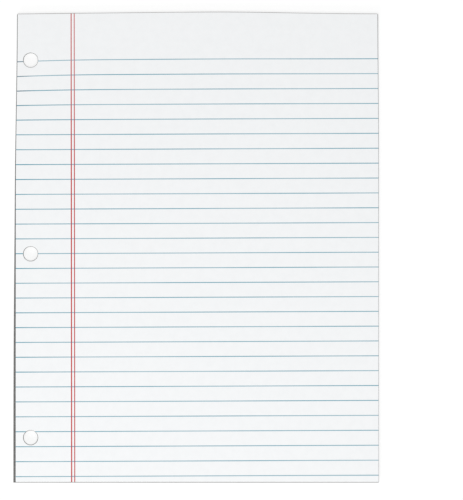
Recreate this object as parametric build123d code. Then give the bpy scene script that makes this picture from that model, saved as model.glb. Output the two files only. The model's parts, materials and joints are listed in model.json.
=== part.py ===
"""A three-hole writing pad: ruled sheets on a chipboard back, held by a film of padding glue.

Millimetres. The pad lies on its board with the ruled face up (+Z), and its glued edge is at +Y.
The origin is under the middle of the whole pad, on the surface that it lies on.
"""

import os

from build123d import *

# The trimmed block of sheets. Paper of 60 g per square metre is about 0.088 mm thick.
sheet_width = 215.9
sheet_length = 279.4
sheet_thickness = 0.088
sheet_count = 50

# The chipboard back. The knife leaves its three free edges standing out past the sheets, and its
# left edge is cut out of square: it runs out further, by this much more at the free edge.
board_thickness = 0.8
board_stand_out = 0.3
board_run_out = 1.3

# The film of padding glue over the top edges of the sheets and the board.
glue_thickness = 0.3

# The binder holes, drilled down through the sheets and the board together. Each is placed from
# the edge or the line that it belongs to.
hole_diameter = 8.5
hole_inset = 8.8
top_hole_from_glued_edge = 28.0
middle_hole_below_middle = 3.8
bottom_hole_from_free_edge = 26.4

# Places worked out from the sizes above.
block_thickness = sheet_count * sheet_thickness
pad_thickness = board_thickness + block_thickness
sheet_right = (sheet_width + board_run_out) / 2
sheet_left = sheet_right - sheet_width
sheet_top = (sheet_length + board_stand_out - glue_thickness) / 2
sheet_bottom = sheet_top - sheet_length
board_left = sheet_left - board_stand_out
board_right = sheet_right + board_stand_out
board_bottom = sheet_bottom - board_stand_out
hole_x = sheet_left + hole_inset
hole_heights = [
    sheet_top - top_hole_from_glued_edge,
    (sheet_top + sheet_bottom) / 2 - middle_hole_below_middle,
    sheet_bottom + bottom_hole_from_free_edge,
]


def plate(corners, low, thickness):
    """A flat plate over the corners given, from the height low upwards."""
    outline = Polygon(*corners, align=None)
    return Pos(0, 0, low) * extrude(outline, thickness)


def drilled(piece):
    """The piece with the three binder holes drilled down through the whole pad."""
    for hole_y in hole_heights:
        drill = Cylinder(hole_diameter / 2, 3 * pad_thickness)
        piece -= Pos(hole_x, hole_y, pad_thickness / 2) * drill
    return piece


def make_ruled_sheets():
    corners = [
        (sheet_left, sheet_bottom),
        (sheet_right, sheet_bottom),
        (sheet_right, sheet_top),
        (sheet_left, sheet_top),
    ]
    return drilled(plate(corners, board_thickness, block_thickness))


def make_back_board():
    corners = [
        (board_left - board_run_out, board_bottom),
        (board_right, board_bottom),
        (board_right, sheet_top),
        (board_left, sheet_top),
    ]
    return drilled(plate(corners, 0, board_thickness))


def make_top_glue():
    corners = [
        (sheet_left, sheet_top),
        (sheet_right, sheet_top),
        (sheet_right, sheet_top + glue_thickness),
        (sheet_left, sheet_top + glue_thickness),
    ]
    return plate(corners, 0, pad_thickness)


nodes = {
    "ruled_sheets": make_ruled_sheets(),
    "back_board": make_back_board(),
    "top_glue": make_top_glue(),
}

os.makedirs("parts", exist_ok=True)
for name, solid in nodes.items():
    export_step(solid, f"parts/{name}.step")
    print(name, "volume", round(solid.volume, 1), "mm3")
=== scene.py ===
import json
import math
import random

import bmesh
import bpy
import numpy as np
from mathutils import Matrix, Vector


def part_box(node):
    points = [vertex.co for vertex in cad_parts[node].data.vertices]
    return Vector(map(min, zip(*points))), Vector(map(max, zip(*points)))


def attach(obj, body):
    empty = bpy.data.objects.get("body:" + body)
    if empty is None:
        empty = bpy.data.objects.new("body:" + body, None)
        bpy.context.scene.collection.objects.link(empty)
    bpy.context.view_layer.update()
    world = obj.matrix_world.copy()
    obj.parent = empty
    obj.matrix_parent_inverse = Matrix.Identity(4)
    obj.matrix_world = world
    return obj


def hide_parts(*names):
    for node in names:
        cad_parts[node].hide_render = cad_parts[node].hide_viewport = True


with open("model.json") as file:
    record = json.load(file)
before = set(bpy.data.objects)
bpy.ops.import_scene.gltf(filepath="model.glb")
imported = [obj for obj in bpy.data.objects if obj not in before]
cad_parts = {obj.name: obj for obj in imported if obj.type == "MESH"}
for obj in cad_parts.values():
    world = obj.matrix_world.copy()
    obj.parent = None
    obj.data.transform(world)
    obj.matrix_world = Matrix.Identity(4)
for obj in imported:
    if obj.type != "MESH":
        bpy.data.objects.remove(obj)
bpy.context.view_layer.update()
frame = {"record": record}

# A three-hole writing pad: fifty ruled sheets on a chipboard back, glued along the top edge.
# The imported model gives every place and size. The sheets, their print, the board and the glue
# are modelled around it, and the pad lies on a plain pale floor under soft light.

mm = 0.001                          # lengths are in metres
fine = 0.001 * mm                   # nearer than this is the same place
on_edge = 0.01 * mm                 # nearer than this to an edge is on it
fan = random.Random(7)              # how the sheets fan about the glued edge

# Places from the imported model.
sheets_low, sheets_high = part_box("ruled_sheets")
board_low, board_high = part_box("back_board")
glue_low, glue_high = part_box("top_glue")
sheets_middle = (sheets_low + sheets_high) / 2
block_thickness = sheets_high.z - sheets_low.z
bores = [m for m in frame["record"]["mounts"] if m["kind"] == "bore"]
holes = [Vector(m["pos_m"][:2]) for m in bores]
hole_radius = bores[0]["dims"]["r_mm"] * mm

# Paper.
sheet_count = 50
sheet_pitch = block_thickness / sheet_count
paper_thickness = 0.080 * mm
hole_patch = 6.6 * mm               # half of the square that a hole and its rings are set in

# How the knife's cuts wander from a true rectangle. The glued edge rises to a rounded crest and
# falls towards its corners, each side on a curve of its own, and the bow dies out over a depth
# below it. Both sides of the pad draw in towards the glued edge, each over a length of the side
# and a reach into the sheet.
bow_crest, crest_round = 15 * mm, 6 * mm
bow_rise, bow_depth = 0.40 * mm, 19 * mm
bow_fall_left, bow_curve_left = 1.22 * mm, 1.2
bow_fall_right, bow_curve_right = 1.10 * mm, 1.6
draw_left, draw_left_length, draw_left_reach = 1.1 * mm, 108 * mm, 4.2 * mm
draw_right, draw_right_length, draw_right_reach = 0.50 * mm, 78 * mm, 20 * mm

# The board's left edge sways in and out, its right edge leans out at the head and in below, and
# its foot stands out a little further. Only its rim moves, from just inside the sheets' edges.
sway, sway_start, sway_length = 0.145 * mm, -10 * mm, 230 * mm
right_lean, lean_length = 0.06 * mm, 52 * mm
foot_lip = 0.1 * mm
rim_inside, rim_width = 0.5 * mm, 0.7 * mm

# How the cut block lies: its rims are rolled down by the knife and the drill, the sheets wave a
# little between them, and the loose corner away from the holes lifts.
roll_depth, roll_width = 0.08 * mm, 0.18 * mm
roll_steps = [0.06 * mm, 0.12 * mm, 0.2 * mm, 0.3 * mm, 0.6 * mm, 1.2 * mm]     # in from the rim
hole_flare, flare_reach = 0.27 * mm, 1.5 * mm
rim_shade_from, rim_shade_to = 0.20 * mm, 0.45 * mm   # beyond the bore, where the painted shade round the holes fades
wave_height = 0.10 * mm
wave_across, wave_down = 95 * mm, 120 * mm      # the waves' scale across and down the sheet
wave_ease = 0.4                     # how much of the sheet they take to reach their height
corner_lift, corner_reach = 0.7 * mm, 70 * mm
swing = math.radians(0.012)         # about how far one sheet turns about the glued edge
crushed_edge = 0.09 * mm            # how far in the board's edges are crushed
glue_lip = 0.22 * mm                # how far in the glue's outer edges are rounded

# The brush's marks in the glue, each by how far its wave goes up and along in one radian.
brush_depth = 0.07 * mm             # how much thinner the glue is where the brush pressed
ridge_up, ridge_along = 0.55 * mm, 17 * mm
hollow_up, hollow_along = 1.3 * mm, 6.5 * mm

# Print, measured from the sheet's left and top edges.
rule_count = 29
rule_pitch = 8.859 * mm
rule_first = 27.75 * mm             # at the middle of the sheet's width
rule_width = 0.53 * mm
rule_tilt = math.radians(0.24)
rule_wander = 0.24 * mm             # the press runs a little slow and then a little fast
wander_start, wander_length = 2, 26             # in rules
sag_depth, sag_reach = 0.95 * mm, 57 * mm       # how the first rules sag at their left ends
sag_from, sag_to = 30 * mm, 75 * mm             # where that begins to ease, and where it ends
pooled_from, pooled_to = 45 * mm, 62 * mm       # the same, for the dark ink that they end in
margin_inset = 34.0 * mm            # to the middle between the two lines
margin_gap = 1.84 * mm
margin_widths = 0.69 * mm, 0.59 * mm
margin_tilt = math.radians(0.065)
ink_depth = 0.03 * mm
ink_spacing = 5 * mm                # between the cuts that let a line follow the paper
rule_stand = 0.016 * mm             # how far the print stands out of the paper
margin_stand = 0.024 * mm
print_top = 1.02                    # the height that print stays under, as a share of the block's


# Modelling by hand.

def select_none():
    """Leaves edit mode, with no object selected."""
    if bpy.context.object and bpy.context.object.mode != "OBJECT":
        bpy.ops.object.mode_set(mode="OBJECT")
    bpy.ops.object.select_all(action="DESELECT")


def work_on(piece):
    """Leaves edit mode and makes the piece the only one selected."""
    select_none()
    bpy.context.view_layer.objects.active = piece
    piece.select_set(True)


def started(name):
    """Names the primitive just added, and puts its place and size into its mesh."""
    piece = bpy.context.object
    piece.name = name
    piece.data.name = name
    bpy.ops.object.transform_apply(location=True, rotation=True, scale=True)
    return piece


def choose(piece, kind, test):
    """Goes into edit mode with the vertices, edges or faces selected that pass the test."""
    if piece.mode != "EDIT":
        work_on(piece)
        bpy.ops.object.mode_set(mode="EDIT")
    bpy.ops.mesh.select_mode(type=kind)
    bpy.ops.mesh.select_all(action="DESELECT")
    shape = bmesh.from_edit_mesh(piece.data)
    parts = {"VERT": shape.verts, "EDGE": shape.edges, "FACE": shape.faces}[kind]
    for part in parts:
        if test(part):
            part.select_set(True)
    bmesh.update_edit_mesh(piece.data)


def choose_all(piece):
    """Goes into edit mode with the whole mesh selected."""
    choose(piece, "FACE", lambda face: True)


def cut_across(piece, places, direction):
    """Cuts the whole mesh through with a plane at each place along the direction."""
    for place in places:
        choose_all(piece)
        bpy.ops.mesh.bisect(plane_co=Vector(direction) * place, plane_no=direction,
                            threshold=fine)


def finish_with(piece, kind, **settings):
    """Adds a modifier to the piece and applies it."""
    work_on(piece)
    modifier = piece.modifiers.new(kind.lower(), kind)
    for name, value in settings.items():
        setattr(modifier, name, value)
    bpy.ops.object.modifier_apply(modifier=modifier.name)


def face_outwards(piece):
    """Turns every face the same way, which is outwards on a closed piece."""
    choose_all(piece)
    bpy.ops.mesh.normals_make_consistent(inside=False)
    work_on(piece)


def block(name, middle, size):
    """A plain block of the size given about its middle, to be shaped further."""
    bpy.ops.mesh.primitive_cube_add(size=1, location=middle)
    piece = started(name)
    choose_all(piece)
    bpy.ops.transform.resize(value=size, center_override=middle)
    return piece


def copy_of(piece, name, move):
    """A copy of the piece with a mesh of its own, moved by a matrix."""
    twin = piece.copy()
    twin.data = piece.data.copy()
    twin.name = name
    twin.data.transform(move)
    bpy.context.scene.collection.objects.link(twin)
    return twin


def join(parts, name):
    """Joins the parts into the first of them, under a new name."""
    whole = parts[0]
    work_on(whole)
    for part in parts:
        part.select_set(True)
    bpy.ops.object.join()
    whole.name = name
    whole.data.name = name
    return whole


def spaced(low, high, spacing, kept=()):
    """Places from low to high about a spacing apart, which give way to the kept ones."""
    count = max(1, round((high - low) / spacing))
    even = [low + (high - low) * i / count for i in range(1, count)]
    clear = [p for p in even if all(abs(p - k) > 0.6 * spacing for k in kept)]
    return sorted(clear + [k for k in kept if low < k < high])


def near_hole(place, hole, reach):
    """Whether a place is in the square about a hole that reaches this far from its middle."""
    return abs(place.x - hole.x) < reach and abs(place.y - hole.y) < reach


# The block as it really lies.

def eased(share):
    """0 below 0, 1 above 1, and smooth between."""
    share = np.clip(share, 0, 1)
    return share * share * (3 - 2 * share)


def trimmed(points):
    """Where points of a true rectangle come to lie in the pad as it was really cut."""
    x, y = points.T[:2]
    moved = points.copy()
    from_head = sheets_high.y - y
    left = np.hypot(np.minimum(x - bow_crest, 0), crest_round) / (bow_crest - sheets_low.x)
    right = np.hypot(np.maximum(x - bow_crest, 0), crest_round) / (sheets_high.x - bow_crest)
    fall_left = bow_fall_left * left ** bow_curve_left
    fall_right = bow_fall_right * np.sin(math.pi / 2 * right) ** bow_curve_right
    bow = bow_rise - (fall_left + fall_right)
    moved[:, 1] += bow * np.exp(-np.maximum(from_head, 0) / bow_depth)
    at_left = np.clip(1 - (x - sheets_low.x) / draw_left_reach, 0, 1) ** 2
    at_right = np.clip(1 - (sheets_high.x - x) / draw_right_reach, 0, 1) ** 2
    moved[:, 0] += draw_left * eased(1 - from_head / draw_left_length) * at_left
    moved[:, 0] -= draw_right * eased(1 - from_head / draw_right_length) * at_right
    return moved


def flared(points):
    """Where points of the lower sheets lie, with the holes wider and wider towards the top."""
    moved = points.copy()
    height = np.clip((points[:, 2] - sheets_low.z) / block_thickness, 0, 1)
    for hole in holes:
        away = points[:, :2] - np.array(hole)
        distance = np.hypot(*away.T)
        from_hole = np.maximum(distance - hole_radius, 0)
        flare = hole_flare * height * np.clip(1 - from_hole / flare_reach, 0, 1)
        moved[:, :2] += away / np.maximum(distance, fine)[:, None] * flare[:, None]
    return moved


def settled(points):
    """Where points of a flat square-cut block come to lie once it is rolled, waved and lifted."""
    x, y, z = points.T
    height = np.clip((z - sheets_low.z) / block_thickness, 0, print_top)
    from_rim = np.minimum.reduce([x - sheets_low.x, sheets_high.x - x, y - sheets_low.y,
                                  sheets_high.y - y])
    moved = points.copy()
    for hole in holes:
        from_hole = np.hypot(x - hole.x, y - hole.y) - hole_radius - hole_flare
        from_rim = np.minimum(from_rim, from_hole)
    rolled = roll_depth * np.exp(-np.maximum(from_rim, 0) / roll_width)
    from_glue = np.clip((sheets_high.y - y) / (wave_ease * (sheets_high.y - sheets_low.y)), 0, 1)
    across = (x - sheets_low.x) / wave_across
    down = (sheets_high.y - y) / wave_down
    slow_wave = np.sin(2.1 * across + 1.7 * down + 0.6)
    quick_wave = np.sin(4.3 * across - 2.6 * down)
    wave = slow_wave + 0.6 * quick_wave
    from_corner = np.hypot(sheets_high.x - x, y - sheets_low.y)
    lift = np.clip(1 - from_corner / corner_reach, 0, 1) ** 2
    moved[:, 2] += height * (wave_height * from_glue * (1 + wave) / 2 - rolled)
    moved[:, 2] += height ** 4 * corner_lift * lift
    return moved


def swayed(points):
    """Where points of the board lie, with its rim swaying and leaning in and out."""
    x, y = points.T[:2]
    moved = points.copy()

    def on_rim(outside):
        return np.clip((outside + rim_inside) / rim_width, 0, 1)

    lean = np.interp(sheets_high.y - y, (0, lean_length), (right_lean, -right_lean))
    swing_in = sway * np.sin(math.tau * (y - sway_start) / sway_length)
    moved[:, 0] += swing_in * on_rim(sheets_low.x - x) + lean * on_rim(x - sheets_high.x)
    moved[:, 1] -= foot_lip * on_rim(sheets_low.y - y)
    return moved


def bend(piece, *ways):
    """Moves the piece's vertices in each of the ways, one after the other."""
    count = len(piece.data.vertices)
    flat = np.empty(count * 3)
    piece.data.vertices.foreach_get("co", flat)
    points = flat.reshape(-1, 3)
    for way in ways:
        points = way(points)
    piece.data.vertices.foreach_set("co", points.ravel())
    piece.data.update()


# Sheets and board.

def open_hole(piece, hole, radius, level, cuts, rings):
    """Rounds off the square cut for a hole, with narrower and narrower bands round the hole."""
    centre = (hole.x, hole.y, level)
    reach = hole_patch

    def rim():
        choose(piece, "EDGE", lambda edge: edge.is_boundary and all(
            near_hole(v.co, hole, reach + fine) for v in edge.verts))

    choose(piece, "FACE", lambda face: near_hole(face.calc_center_median(), hole, reach))
    bpy.ops.mesh.delete(type="FACE")
    rim()
    bpy.ops.mesh.subdivide(number_cuts=cuts)
    rim()
    bpy.ops.mesh.extrude_edges_indiv()
    bpy.ops.transform.tosphere(value=1, center_override=centre)
    shape = bmesh.from_edit_mesh(piece.data)
    reach = next((v.co.xy - hole).length for v in shape.verts if v.select)
    for ring in rings:
        shrink = (radius + ring) / reach
        bpy.ops.transform.resize(value=(shrink, shrink, 1), center_override=centre)
        reach = radius + ring
        if ring > rings[-1]:
            rim()
            bpy.ops.mesh.extrude_edges_indiv()


def widen_rim(piece, low, high, rings):
    """Runs bands round the outside of a face, up to the corners given."""
    middle = (low + high) / 2
    half = (high - low) / 2
    for outer, inner in zip(rings, rings[1:]):
        reach_x, reach_y = half.x - outer - on_edge, half.y - outer - on_edge
        choose(piece, "EDGE", lambda edge: edge.is_boundary and all(
            abs(v.co.x - middle.x) > reach_x or abs(v.co.y - middle.y) > reach_y
            for v in edge.verts))
        bpy.ops.mesh.extrude_edges_indiv()
        grow = ((half.x - inner) / (half.x - outer), (half.y - inner) / (half.y - outer), 1)
        bpy.ops.transform.resize(value=grow, center_override=middle)


def pierced_face(name, low, high, level, radius, spacing, patch_cuts, rim_cuts, rings):
    """A flat face with the three binder holes, cut finely enough to be bent."""
    middle = Vector(((low.x + high.x) / 2, (low.y + high.y) / 2, level))
    size = high - low
    bpy.ops.mesh.primitive_plane_add(size=1, location=middle)
    piece = started(name)
    choose_all(piece)
    bpy.ops.transform.resize(value=(size.x - 2 * rings[0], size.y - 2 * rings[0], 1),
                             center_override=middle)
    patch = [hole_patch * (2 * i / patch_cuts - 1) for i in range(patch_cuts + 1)]
    kept_x = [holes[0].x + p for p in patch]
    kept_y = [hole.y + p for hole in holes for p in patch]
    cut_across(piece, spaced(low.x, high.x, spacing, kept_x), (1, 0, 0))
    cut_across(piece, spaced(low.y, high.y, spacing, kept_y), (0, 1, 0))
    for hole in holes:
        open_hole(piece, hole, radius, level, rim_cuts, rings)
    widen_rim(piece, Vector((low.x, low.y, level)), Vector((high.x, high.y, level)), rings)
    face_outwards(piece)
    if piece.data.polygons[0].normal.z < 0:
        piece.data.flip_normals()
    return piece


def thicken(piece, thickness):
    """Gives an upward face its thickness, downwards."""
    finish_with(piece, "SOLIDIFY", thickness=thickness, offset=-1, use_quality_normals=False)
    face_outwards(piece)


def make_writing_sheet():
    """The top sheet, which carries the print that shows."""
    sheet = pierced_face("writing_sheet", sheets_low, sheets_high, sheets_high.z,
                         hole_radius + hole_flare, spacing=9 * mm, patch_cuts=4, rim_cuts=3,
                         rings=[*reversed(roll_steps), 0])
    thicken(sheet, paper_thickness)
    bend(sheet, settled, trimmed)
    return sheet


def make_under_sheets():
    """The other sheets. Each is turned a hair about the glued edge, and neighbours drift alike."""
    blank = pierced_face("under_sheets", sheets_low, sheets_high, 0, hole_radius,
                         spacing=18 * mm, patch_cuts=2, rim_cuts=5, rings=[0.6 * mm, 0.2 * mm, 0])
    hinge = Matrix.Translation((sheets_middle.x, sheets_high.y, 0))
    drift = 0
    sheets = []
    for i in range(sheet_count - 1):
        drift = 0.8 * drift + fan.gauss(0, swing)
        turn = Matrix.Rotation(drift + fan.gauss(0, swing / 2), 4, "Z")
        lift = Matrix.Translation((0, 0, sheets_low.z + (i + 1) * sheet_pitch))
        sheets.append(copy_of(blank, "sheet", lift @ hinge @ turn @ hinge.inverted()))
    bpy.data.objects.remove(blank)
    stack = join(sheets, "under_sheets")
    thicken(stack, paper_thickness)
    bend(stack, flared, settled, trimmed)
    return stack


def make_chip_back():
    """The chipboard, with its left edge cut out of square and its edges a little crushed."""
    board = pierced_face("chip_back", board_low, board_high, board_high.z, hole_radius,
                         spacing=12 * mm, patch_cuts=2, rim_cuts=5, rings=[0.9 * mm, 0.3 * mm, 0])
    stand_out = board_high.x - sheets_high.x
    foot = Vector((board_low.x, board_low.y, 0))
    head = Vector((sheets_low.x - stand_out, board_high.y, 0))
    outwards = Vector((foot.y - head.y, head.x - foot.x, 0)).normalized()
    choose_all(board)
    bpy.ops.mesh.bisect(plane_co=foot, plane_no=outwards, clear_outer=True, threshold=fine)
    thicken(board, board_high.z - board_low.z)
    finish_with(board, "BEVEL", width=crushed_edge, segments=2, limit_method="ANGLE",
                angle_limit=math.radians(50))
    bend(board, swayed, trimmed)
    return board


# Print.

def ink_line(name, middle, length, width, stand, cuts):
    """A straight line of ink lying along X, a little into the paper and a little out of it."""
    level = sheets_high.z + stand - ink_depth / 2
    line = block(name, (middle.x, middle.y, level), (length, width, ink_depth))
    cut_across(line, cuts, (1, 0, 0))
    cut_across(line, [middle.y], (0, 1, 0))
    work_on(line)
    return line


def end_cuts(low, high):
    """Places close to both ends, where the paper rolls down."""
    steps = [*roll_steps, 2 * roll_steps[-1]]
    return [low + s for s in steps] + [high - s for s in steps]


def rule_place(i):
    """How far below the first rule the press put this one."""
    wander = rule_wander * math.sin(math.tau * (i - wander_start) / wander_length)
    return i * rule_pitch + wander


def sagged(points):
    """Where points of the rules lie, with the first few sagging towards their left ends."""
    x, y = points.T[:2]
    moved = points.copy()
    at_left = np.clip(1 - (x - sheets_low.x) / sag_reach, 0, 1) ** 2
    near_head = 1 - eased((sheets_high.y - y - sag_from) / (sag_to - sag_from))
    moved[:, 1] -= sag_depth * at_left * near_head
    return moved


def make_rules():
    """The blue rules, from edge to edge, all a little out of level with the sheet."""
    middle = Vector((sheets_middle.x, sheets_high.y - rule_first))
    across_holes = [holes[0].x + 0.2 * mm * i for i in range(-27, 28)]
    close = end_cuts(sheets_low.x, sheets_high.x) + across_holes
    cuts = spaced(sheets_low.x, sheets_high.x, ink_spacing, close)
    first = ink_line("rules", middle, sheets_high.x - sheets_low.x, rule_width, rule_stand, cuts)
    place = Matrix.Translation((middle.x, middle.y, 0))
    first.data.transform(place @ Matrix.Rotation(rule_tilt, 4, "Z") @ place.inverted())
    lines = [copy_of(first, "rule", Matrix.Translation((0, -rule_place(i), 0)))
             for i in range(rule_count)]
    bpy.data.objects.remove(first)
    rules = join(lines, "rules")
    bend(rules, sagged)
    drill_out(rules)
    bend(rules, settled, trimmed)
    return rules


def make_margins():
    """The double red line down the left side."""
    length = sheets_high.y - sheets_low.y
    middle = Vector((sheets_low.x + margin_inset, sheets_middle.y))
    low, high = middle.x - length / 2, middle.x + length / 2
    cuts = spaced(low, high, ink_spacing, end_cuts(low, high))
    pair = []
    for width, side in zip(margin_widths, (-1, 1)):
        line = ink_line("margin", middle, length, width, margin_stand, cuts)
        place = Matrix.Translation((middle.x, middle.y, 0))
        upright = Matrix.Rotation(math.radians(90) + margin_tilt, 4, "Z")
        across = Matrix.Translation((side * margin_gap / 2, 0, 0))
        line.data.transform(across @ place @ upright @ place.inverted())
        pair.append(line)
    margins = join(pair, "margins")
    bend(margins, settled, trimmed)
    return margins


def drill_out(piece):
    """Takes the three binder holes out of the print."""
    select_none()
    for hole in holes:
        bpy.ops.mesh.primitive_cylinder_add(vertices=96, radius=hole_radius + hole_flare,
                                            depth=2 * mm, location=(hole.x, hole.y, sheets_high.z))
        drill = started("drill")
        finish_with(piece, "BOOLEAN", operation="DIFFERENCE", solver="EXACT", object=drill)
        bpy.data.objects.remove(drill)
    choose_all(piece)
    bpy.ops.mesh.dissolve_degenerate(threshold=fine)
    work_on(piece)


# Glue.

def brushed(points):
    """Where points of the glue film lie, with the brush's ridges and hollows along it."""
    x, y, z = points.T
    moved = points.copy()
    ridges = np.sin(z / ridge_up + 0.8 * np.sin(x / ridge_along))
    hollows = 0.6 * np.sin(x / hollow_along + z / hollow_up)
    outwards = np.clip((y - glue_low.y) / (glue_high.y - glue_low.y), 0, 1)
    moved[:, 1] -= brush_depth * (1.6 + ridges + hollows) / 3.2 * outwards
    return moved


def make_glue_film():
    """The film of padding glue, with rounded lips and the marks of the brush."""
    film = block("glue_film", (glue_low + glue_high) / 2, glue_high - glue_low)
    outer = glue_high.y - on_edge
    choose(film, "EDGE", lambda edge: all(v.co.y > outer for v in edge.verts))
    bpy.ops.mesh.bevel(offset=glue_lip, segments=4)
    cut_across(film, spaced(glue_low.x, glue_high.x, 2 * mm), (1, 0, 0))
    cut_across(film, spaced(glue_low.z, glue_high.z, 0.35 * mm), (0, 0, 1))
    work_on(film)
    bend(film, brushed, settled, trimmed)
    return film


# Finishes.

class Signal:
    """What a shader node gives out. Signs between signals and numbers add Math nodes."""

    def __init__(self, tree, socket):
        self.tree = tree
        self.socket = socket

    def combined(self, operation, first, second):
        """Adds a Math node that works on the two, and gives what it gives out."""
        node = self.tree.nodes.new("ShaderNodeMath")
        node.operation = operation
        for entry, value in zip(node.inputs, (first, second)):
            connect(self.tree, entry, value)
        return Signal(self.tree, node.outputs[0])

    def __add__(self, other):
        return self.combined("ADD", self, other)

    def __radd__(self, other):
        return self.combined("ADD", other, self)

    def __sub__(self, other):
        return self.combined("SUBTRACT", self, other)

    def __rsub__(self, other):
        return self.combined("SUBTRACT", other, self)

    def __mul__(self, other):
        return self.combined("MULTIPLY", self, other)

    def __rmul__(self, other):
        return self.combined("MULTIPLY", other, self)

    def __truediv__(self, other):
        return self.combined("DIVIDE", self, other)

    def __gt__(self, other):
        return self.combined("GREATER_THAN", self, other)


def connect(tree, entry, value):
    """Gives an input its value, or links it to a signal."""
    if isinstance(value, Signal):
        tree.links.new(value.socket, entry)
    else:
        entry.default_value = value


class Nodes:
    """The nodes of a material or of the surround."""

    def __init__(self, tree):
        self.tree = tree

    def node(self, kind, settings=None, values=None, out=0):
        """Adds a node, sets its settings and then its inputs, and gives one of its outputs."""
        node = self.tree.nodes.new(kind)
        for name, value in (settings or {}).items():
            setattr(node, name, value)
        inputs = {entry.identifier: entry for entry in node.inputs}
        for name, value in (values or {}).items():
            connect(self.tree, inputs[name], value)
        return Signal(self.tree, node.outputs[out])


class Finish(Nodes):
    """A material in the making: its nodes, ending in one Principled shader, which is first
    given the values that are the same all over."""

    def __init__(self, name, uniform):
        self.material = bpy.data.materials.new(name)
        self.material.use_nodes = True
        super().__init__(self.material.node_tree)
        self.shader = self.tree.nodes["Principled BSDF"]
        self.feed(uniform)
        self.place = self.node("ShaderNodeTexCoord", out="Object")

    def noise(self, size, detail=2, stretch=(1, 1, 1), rough=0.5):
        """Cloudy noise from 0 to 1, with features of about the size given."""
        place = self.node("ShaderNodeVectorMath", {"operation": "MULTIPLY"},
                          {"Vector": self.place, "Vector_001": stretch})
        return self.node("ShaderNodeTexNoise", {}, {
            "Vector": place, "Scale": 1 / size, "Detail": detail, "Roughness": rough})

    def band(self, signal, low, high):
        """0 below low, 1 above high, and smooth between."""
        return self.node("ShaderNodeMapRange", {"interpolation_type": "SMOOTHSTEP"}, {
            "Value": signal, "From Min": low, "From Max": high})

    def mix(self, share, first, second):
        """The first colour where the share is 0, and the second where it is 1."""
        return self.node("ShaderNodeMix", {"data_type": "RGBA"}, {
            "Factor_Float": share, "A_Color": first, "B_Color": second}, out=2)

    def part(self, vector, axis):
        """How much of the vector lies along X, Y or Z."""
        return self.node("ShaderNodeSeparateXYZ", {}, {"Vector": vector}, out=axis)

    def along(self, axis):
        """The place along X, Y or Z."""
        return self.part(self.place, axis)

    def facing_up(self):
        """1 on a face that looks up, 0 on an upright one and -1 on one that looks down."""
        return self.part(self.node("ShaderNodeNewGeometry", out="Normal"), "Z")

    def unsigned(self, signal):
        """The signal without its sign."""
        return self.node("ShaderNodeMath", {"operation": "ABSOLUTE"}, {"Value": signal})

    def feed(self, values):
        """Sets the shader's own inputs, or links them to signals."""
        for name, value in values.items():
            connect(self.tree, self.shader.inputs[name], value)

    def bump(self, height, distance, strength):
        """Raises the surface a little by the signal."""
        self.feed({"Normal": self.node("ShaderNodeBump", {}, {
            "Height": height, "Distance": distance, "Strength": strength})})


def shade(red, green, blue):
    """A colour, as the shaders take it."""
    return (red, green, blue, 1)


paper_white = shade(0.872, 0.881, 0.886)
paper_deep = shade(0.848, 0.858, 0.864)
rule_blue = shade(0.07, 0.295, 0.385)
rule_deep = shade(0.02, 0.11, 0.17)
margin_red = shade(0.52, 0.033, 0.032)


def paper_colour(finish):
    """White paper: cloudy where the pulp lies thicker, with faint fibres both ways."""
    clouds = finish.noise(5 * mm, detail=4, rough=0.6)
    fibre = finish.noise(0.25 * mm, detail=2, stretch=(1, 0.18, 1))
    cross = finish.noise(0.25 * mm, detail=2, stretch=(0.2, 1, 1))
    depth = finish.band(0.6 * clouds + 0.2 * fibre + 0.2 * cross, 0.35, 0.7)
    return finish.mix(depth, paper_white, paper_deep), fibre + cross


def paper_finish():
    """The writing sheet's paper, with the fine grain of its surface."""
    finish = Finish("white_paper", {"Specular IOR Level": 0.25})
    colour, fibres = paper_colour(finish)
    grain = finish.noise(0.09 * mm, detail=3)
    finish.feed({"Base Color": colour, "Roughness": 0.78 + 0.12 * fibres / 2})
    finish.bump(fibres + grain, 0.012 * mm, 0.5)
    return finish.material


def rule_marks(finish):
    """1 on a rule, and 0 off it, anywhere in the block."""
    x, y = finish.along("X"), finish.along("Y")
    to_left = finish.node("ShaderNodeMapRange", {}, {
        "Value": x, "From Min": sheets_low.x + sag_reach, "From Max": sheets_low.x})
    near_head = finish.band(y, sheets_high.y - sag_to, sheets_high.y - sag_from)
    unsagged = y + to_left * to_left * near_head * sag_depth
    below = (sheets_high.y - rule_first) - (unsagged - (x - sheets_middle.x) * math.tan(rule_tilt))
    wander = finish.node("ShaderNodeMath", {"operation": "SINE"}, {
        "Value": (below / rule_pitch - wander_start) * (math.tau / wander_length)})
    in_rules = (below - rule_wander * wander) / rule_pitch
    off_line = finish.node("ShaderNodeMath", {"operation": "FRACT"}, {"Value": in_rules + 0.5})
    distance = finish.unsigned(off_line - 0.5) * rule_pitch
    on_line = 1 - finish.band(distance, 0.4 * rule_width, 0.75 * rule_width)
    past_heading = finish.band(below, -2 * mm, -1 * mm)
    return on_line * past_heading


def painted_rim_shade_mask(finish):
    """1 within the rims of the binder holes, where shade is painted, and 0 beyond them."""
    x, y = finish.along("X"), finish.along("Y")
    at_rims = 0
    for hole in holes:
        from_hole = finish.node("ShaderNodeCombineXYZ", {}, {"X": x - hole.x, "Y": y - hole.y})
        away = finish.node("ShaderNodeVectorMath", {"operation": "LENGTH"},
                           {"Vector": from_hole}, out="Value")
        beyond = finish.band(away, hole_radius + rim_shade_from, hole_radius + rim_shade_to)
        at_rims = at_rims + (1 - beyond)
    return at_rims


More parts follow.
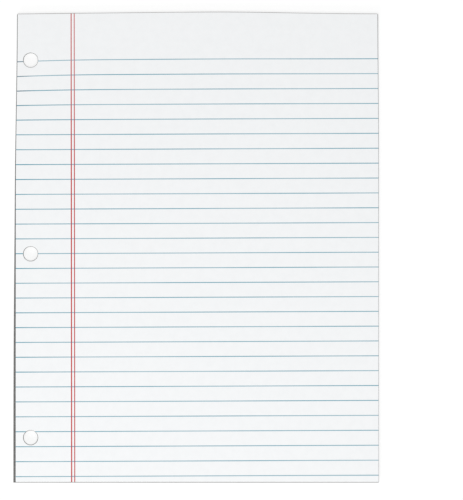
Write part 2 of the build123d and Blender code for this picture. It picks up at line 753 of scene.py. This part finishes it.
def edge_finish():
    """Paper seen at its cut edges, where the rules' ends show as faint blue ticks; shade is
    painted round the holes.
    """
    finish = Finish("paper_edges", {"Specular IOR Level": 0.2})
    colour, fibres = paper_colour(finish)
    by_sheet = finish.noise(0.35 * mm, detail=2, stretch=(0.02, 0.02, 1))
    dusty = finish.mix(finish.band(by_sheet, 0.35, 0.65) * 0.25, colour, shade(0.70, 0.70, 0.68))
    ticks = rule_marks(finish) * finish.band(by_sheet, 0.25, 0.6) * 0.55
    printed = finish.mix(ticks, dusty, rule_blue)
    # painted shade round the binder holes: dark on their up-facing rims, grey on their walls
    rim_painted_shade = finish.mix(finish.facing_up() > 0.5, shade(0.50, 0.50, 0.49),
                        shade(0.20, 0.20, 0.195))
    with_rim_painted_shade = finish.mix(painted_rim_shade_mask(finish) * 0.9, printed, rim_painted_shade)
    finish.feed({"Base Color": with_rim_painted_shade, "Roughness": 0.86 + 0.05 * fibres})
    finish.bump(fibres + by_sheet, 0.015 * mm, 0.6)
    return finish.material


def inked(finish, ink, cover, thin):
    """Lays ink over the paper by the share in cover. The fibres take it unevenly."""
    colour, fibres = paper_colour(finish)
    uneven = finish.noise(0.14 * mm, detail=3)
    taken = cover * (1 - thin + thin * finish.band(uneven, 0.3, 0.55))
    finish.feed({"Base Color": finish.mix(taken, colour, ink),
                 "Roughness": 0.62 + 0.14 * uneven})
    finish.bump(fibres + uneven, 0.010 * mm, 0.4)
    return finish.material


def rule_finish():
    """Blue ink. Each rule has a little more or less of it, and most at its left end, where it
    is also darker on the first few."""
    finish = Finish("rule_ink", {"Specular IOR Level": 0.1})
    by_rule = finish.noise(6 * mm, detail=1, stretch=(0.08, 1, 1))
    at_left = finish.band(finish.along("X"), sheets_low.x + 14 * mm, sheets_low.x + 1 * mm)
    cover = 0.71 + 0.20 * finish.band(by_rule, 0.3, 0.7) + 0.15 * at_left
    near_head = finish.band(finish.along("Y"), sheets_high.y - pooled_to,
                            sheets_high.y - pooled_from)
    pooled = finish.mix(at_left * near_head, rule_blue, rule_deep)
    return inked(finish, pooled, cover, 0.12)


def margin_finish():
    """Red ink over the blue, worn a little thinner towards the head."""
    finish = Finish("margin_ink", {"Specular IOR Level": 0.1})
    cover = 1 - 0.17 * finish.band(finish.along("Y"), 40 * mm, sheets_high.y)
    crossed = finish.mix(rule_marks(finish) * 0.8, margin_red, shade(0.30, 0.06, 0.13))
    return inked(finish, crossed, cover, 0.06)


def chipboard_finish():
    """Grey chipboard of pressed waste paper: mottled, flecked light and dark, and rough."""
    finish = Finish("grey_chipboard", {"Specular IOR Level": 0.25})
    mottle = finish.noise(3 * mm, detail=5, rough=0.65)
    fibre = finish.noise(0.5 * mm, detail=3, stretch=(1, 0.3, 1))
    cross = finish.noise(0.45 * mm, detail=2, stretch=(0.35, 1, 1))
    flecks = finish.noise(0.7 * mm, detail=1, stretch=(1, 0.7, 4))
    specks = finish.noise(0.4 * mm, detail=0, stretch=(0.8, 1, 4))
    ply = finish.noise(0.16 * mm, detail=2, stretch=(0.03, 0.03, 1))
    upright = 1 - finish.band(finish.unsigned(finish.facing_up()), 0.5, 0.8)
    ground = finish.mix(finish.band(0.6 * mottle + 0.4 * fibre, 0.35, 0.65),
                        shade(0.140, 0.138, 0.133), shade(0.185, 0.182, 0.176))
    lighter = finish.mix(finish.band(flecks, 0.66, 0.74) * 0.5, ground, shade(0.33, 0.32, 0.30))
    darker = finish.mix(finish.band(specks, 0.70, 0.76) * 0.7, lighter, shade(0.06, 0.06, 0.064))
    layered = finish.mix(upright * finish.band(ply, 0.4, 0.6) * 0.5, darker,
                         shade(0.105, 0.103, 0.098))
    finish.feed({"Base Color": layered, "Roughness": 0.84 + 0.1 * mottle})
    finish.bump(0.5 * fibre + 0.5 * cross + 0.6 * mottle, 0.06 * mm, 0.6)
    return finish.material


def glue_finish():
    """Padding glue: a milky rubbery skin with the brush's strokes along it. The sheets show
    through it as fine lines and the board as a darker foot, and shade is painted on its top lip."""
    finish = Finish("padding_glue", {"Coat Weight": 0.15, "Coat Roughness": 0.3})
    height = finish.along("Z")
    stroke = finish.noise(0.5 * mm, detail=3, stretch=(0.05, 1, 1))
    cloud = finish.noise(7 * mm, detail=3, stretch=(1, 1, 3))
    sheet = finish.noise(0.14 * mm, detail=1, stretch=(0.02, 0.02, 1))
    thick = finish.band(0.5 * stroke + 0.5 * cloud, 0.38, 0.62)
    milk = finish.mix(thick, shade(0.66, 0.655, 0.63), shade(0.53, 0.52, 0.49))
    lines = finish.band(sheet, 0.42, 0.6) * (0.55 - 0.3 * thick)
    lined = finish.mix(lines, milk, shade(0.40, 0.395, 0.38))
    over_board = 1 - finish.band(height + 0.5 * mm * (stroke - 0.5), board_high.z - 0.08 * mm,
                                 board_high.z + 0.06 * mm)
    footed = finish.mix(over_board * (0.8 - 0.3 * thick), lined, shade(0.27, 0.265, 0.25))
    at_lip = finish.band(height, sheets_high.z - 0.30 * mm, sheets_high.z - 0.12 * mm)
    # painted shade: the glue's top lip is darkened to stand in for the shadowed outline along the
    # head
    lip_painted_shade = finish.mix(at_lip * 0.9, footed, shade(0.25, 0.244, 0.233))
    finish.feed({"Base Color": lip_painted_shade, "Roughness": 0.36 + 0.2 * stroke})
    finish.bump(0.6 * stroke + 0.4 * sheet, 0.05 * mm, 0.7)
    return finish.material


def dress(piece, material, slot, *replaced):
    """Gives a piece its finish and its smooth shading, and ties it to the frame."""
    piece.data.materials.clear()
    piece.data.materials.append(material)
    work_on(piece)
    bpy.ops.object.shade_smooth_by_angle(angle=math.radians(30))
    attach(piece, "root")
    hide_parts(*replaced)


# The floor, the light and the camera.

floor_gap = 0.1 * mm                # under the pad
floor_size = 40
camera_distance = 8                 # above the top sheet
camera_over = 21.12 * mm, -1.57 * mm
view_height = 297.75 * mm           # how much of the top sheet's plane is seen, up and down


def make_floor():
    """A plain pale floor, which glows a little and is clear when seen from below."""
    select_none()
    bpy.ops.mesh.primitive_plane_add(size=floor_size, location=(0, 0, -floor_gap))
    floor = started("floor")
    finish = Finish("pale_floor", {
        "Roughness": 0.9, "Specular IOR Level": 0.0, "Emission Color": shade(1, 1, 1),
        "Emission Strength": 0.70})
    soft = finish.noise(0.4, detail=1)
    finish.feed({"Base Color": finish.mix(soft * 0.3, shade(0.33, 0.33, 0.33),
                                          shade(0.31, 0.31, 0.31))})
    under = finish.node("ShaderNodeNewGeometry", out="Backfacing")
    clear = finish.node("ShaderNodeBsdfTransparent")
    one_sided = finish.node("ShaderNodeMixShader", {}, {
        "Fac": under, "Shader": Signal(finish.tree, finish.shader.outputs[0]),
        "Shader_001": clear})
    connect(finish.tree, finish.tree.nodes["Material Output"].inputs["Surface"], one_sided)
    finish.material.cycles.emission_sampling = "NONE"
    floor.data.materials.append(finish.material)


def soft_lamp(name, place, size, power):
    """A disc of light turned towards the pad."""
    bpy.ops.object.light_add(type="AREA", location=place)
    lamp = bpy.context.object
    lamp.name = name
    lamp.rotation_euler = Vector(place).to_track_quat("Z", "Y").to_euler()
    lamp.data.shape = "DISK"
    lamp.data.size = size
    lamp.data.energy = power
    lamp.visible_camera = False


def make_light():
    """A soft light high over the pad, a weaker one from beyond its foot, and a pale surround."""
    soft_lamp("high_light", (-0.05, -0.12, 2.2), size=0.9, power=22)
    soft_lamp("foot_light", (-0.50, -1.10, 1.00), size=0.8, power=6.5)
    world = bpy.data.worlds.new("surround")
    bpy.context.scene.world = world
    world.use_nodes = True
    nodes = Nodes(world.node_tree)
    glow = nodes.tree.nodes["Background"]
    connect(nodes.tree, glow.inputs["Color"], shade(0.985, 0.99, 1.0))
    connect(nodes.tree, glow.inputs["Strength"], 0.45)
    white = nodes.node("ShaderNodeBackground", {}, {"Color": shade(1, 1, 1)})
    seen = nodes.node("ShaderNodeLightPath", out="Is Camera Ray")
    surround = nodes.node("ShaderNodeMixShader", {}, {
        "Fac": seen, "Shader": Signal(nodes.tree, glow.outputs[0]), "Shader_001": white})
    connect(nodes.tree, nodes.tree.nodes["World Output"].inputs["Surface"], surround)


def make_camera():
    """A camera far over the pad that looks straight down. Its sensor's width lies along the
    picture's height, which is the longer side."""
    bpy.ops.object.camera_add(location=(*camera_over, sheets_high.z + camera_distance))
    camera = bpy.context.object
    camera.name = "camera"
    camera.data.lens = camera.data.sensor_width * camera_distance / view_height
    bpy.context.scene.camera = camera


bpy.context.scene.view_settings.view_transform = "Standard"
select_none()
make_camera()
make_light()
make_floor()

# How each piece is made and finished, its material slot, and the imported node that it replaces.
pieces = [
    (make_writing_sheet, paper_finish, "white_paper", "ruled_sheets"),
    (make_under_sheets, edge_finish, "white_paper", "ruled_sheets"),
    (make_rules, rule_finish, "white_paper"),
    (make_margins, margin_finish, "white_paper"),
    (make_chip_back, chipboard_finish, "grey_chipboard", "back_board"),
    (make_glue_film, glue_finish, "padding_glue", "top_glue"),
]
for make, finish, slot, *replaced in pieces:
    select_none()
    dress(make(), finish(), slot, *replaced)
